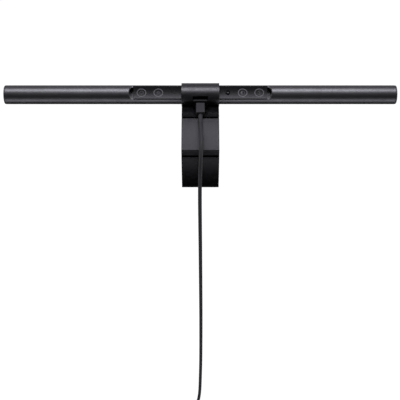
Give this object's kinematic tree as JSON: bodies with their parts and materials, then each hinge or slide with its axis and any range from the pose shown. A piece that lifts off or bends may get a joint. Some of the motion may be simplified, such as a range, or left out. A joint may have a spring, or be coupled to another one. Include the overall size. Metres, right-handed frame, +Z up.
{
  "type": "monitor light bar",
  "caption": "Round clip-on light bar for the top of a monitor, with touch keys, a tilting lamp, a hinged counterweight behind the screen and a detachable power lead.",
  "frame": {"origin": "middle of the seat pad's underside, where the clip rests on the monitor's top edge", "axes": "+X along the bar, +Y towards the back of the screen, +Z up"},
  "size_m": [0.45, 0.1256, 0.6592],
  "materials": {
    "anodised_aluminium": "black anodised, finely bead-blasted",
    "end_cap_plastic": "matte moulded",
    "panel_black": "satin black panel",
    "key_ring_white": "grey translucent rings",
    "sensor_lens": "smoked clear dome",
    "circuit_board": "green solder mask",
    "white_plastic": "matte white",
    "diffuser": "frosted",
    "clip_black": "matte moulded",
    "silicone_grey": "matte, finely ribbed",
    "port_black": "matte moulded",
    "plated_steel": "nickel plated",
    "spring_steel": "bright drawn wire",
    "cover_black": "finely spark-eroded texture",
    "weight_shell_black": "satin moulded",
    "weight_steel": "sawn mild steel",
    "plug_rubber": "matte overmould",
    "cord_jacket": "satin PVC jacket",
    "tie_rubber": "hook-and-loop strap"
  },
  "bodies": {
    "clip": {"clip_frame": "clip_black", "friction_liner": "white_plastic", "seat_pad": "silicone_grey", "lip_pad": "silicone_grey", "port_block": "port_black", "usb_port_shell": "plated_steel", "port_board": "circuit_board", "hinge_pin": "plated_steel", "hinge_bush": "white_plastic", "torsion_spring_left": "spring_steel", "torsion_spring_right": "spring_steel", "plug_tip": "plated_steel", "plug_device": "plug_rubber", "strain_relief_device": "plug_rubber", "cord_run": "cord_jacket", "cord_coil": "cord_jacket", "cord_tail": "cord_jacket", "cable_tie": "tie_rubber", "strain_relief_usb": "plug_rubber", "plug_usb": "plug_rubber", "plug_usb_shell": "plated_steel"},
    "lamp": {"lamp_tube": "anodised_aluminium", "end_cap_left": "end_cap_plastic", "end_cap_right": "end_cap_plastic", "control_panel": "panel_black", "key_ring_1": "key_ring_white", "key_ring_2": "key_ring_white", "key_ring_3": "key_ring_white", "key_ring_4": "key_ring_white", "light_sensor_lens": "sensor_lens", "touch_board": "circuit_board", "driver_board": "circuit_board", "led_board_left": "circuit_board", "led_board_right": "circuit_board", "reflector_left": "white_plastic", "reflector_right": "white_plastic", "diffuser_left": "diffuser", "diffuser_right": "diffuser"},
    "counterweight": {"counterweight_cover": "cover_black", "counterweight_body": "weight_shell_black", "weight_block": "weight_steel", "weight_screw_left": "plated_steel", "weight_screw_right": "plated_steel", "toe_pad": "silicone_grey"}
  },
  "joints": [
    {"name": "lamp_tilt", "type": "hinge", "parent": "clip", "child": "lamp", "pos_m": [0, -0.015, 0.017], "axis": [1, 0, 0], "range_deg": [-20, 20]},
    {"name": "counterweight_open", "type": "hinge", "parent": "clip", "child": "counterweight", "pos_m": [0, 0.016, 0.006], "axis": [1, 0, 0], "range_deg": [0, 14], "stiffness_Nm_per_rad": 0.08, "springref_deg": -28.65}
  ]
}
